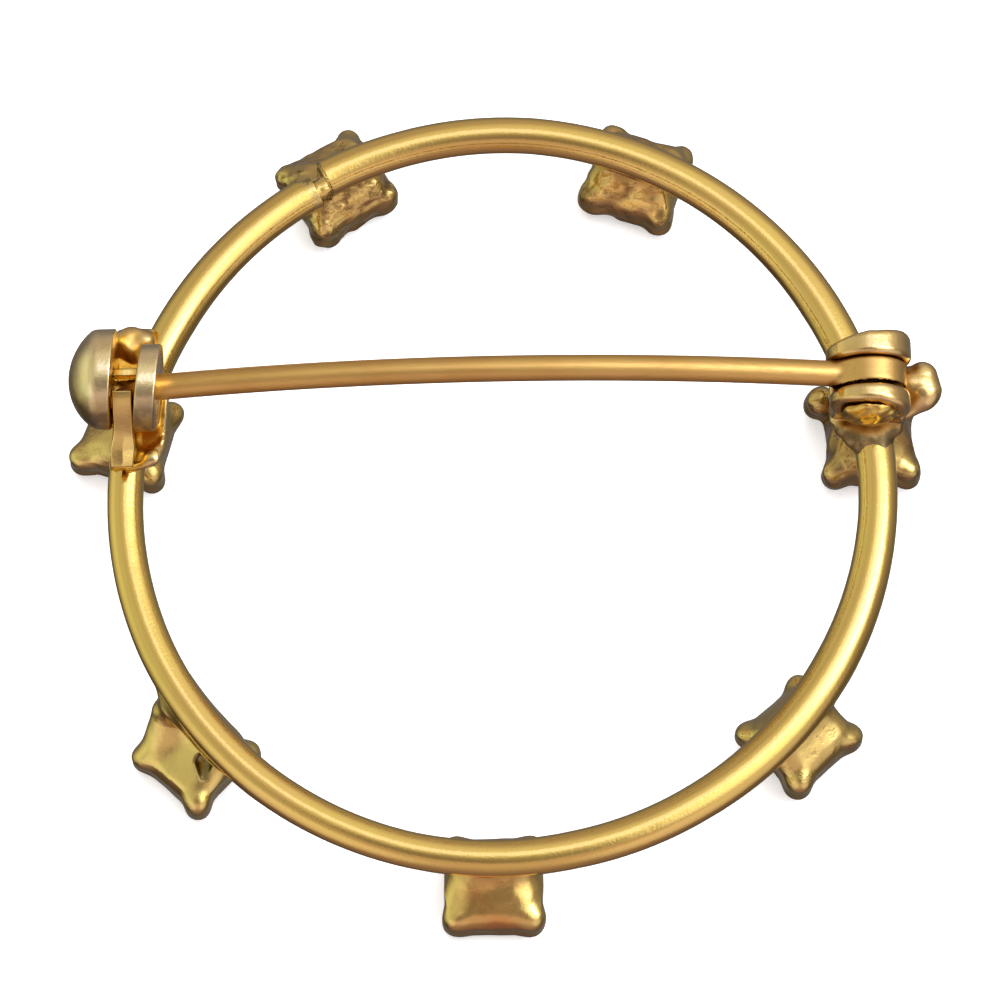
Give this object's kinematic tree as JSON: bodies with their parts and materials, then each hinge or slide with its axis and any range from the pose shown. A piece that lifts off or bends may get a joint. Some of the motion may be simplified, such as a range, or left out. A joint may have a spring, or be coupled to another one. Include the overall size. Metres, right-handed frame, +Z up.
{
  "type": "brooch",
  "caption": "Circle brooch of round wire carrying claw-set stones, lying face down, with a hinged bowed pin across its back and a turning safety catch.",
  "frame": {"origin": "on the surface that the brooch lies on, under the middle of the wire ring", "axes": "+X along the pin, from the catch towards the hinge; +Z up out of the brooch's back; the stones face -Z"},
  "size_m": [0.0334, 0.0321, 0.0089],
  "materials": {
    "gold": "polished, duller behind the settings",
    "pin_metal": "satin",
    "stone": "polished facets"
  },
  "bodies": {
    "brooch": {"brooch_frame": "gold", "stone_1": "stone", "stone_2": "stone", "stone_3": "stone", "stone_4": "stone", "stone_5": "stone", "stone_6": "stone", "stone_7": "stone", "hinge_rivet": "gold"},
    "pin": {"pin_stem": "pin_metal"},
    "tumbler": {"catch_tumbler": "gold"}
  },
  "joints": [
    {"name": "pin_hinge", "type": "hinge", "parent": "brooch", "child": "pin", "pos_m": [0.01395, 0.0036, 0.0064], "axis": [0, 1, 0], "range_deg": [0, 110]},
    {"name": "catch_turn", "type": "hinge", "parent": "brooch", "child": "tumbler", "pos_m": [-0.0141, 0.0036, 0.0067], "axis": [-1, 0, 0], "range_deg": [0, 90]}
  ]
}
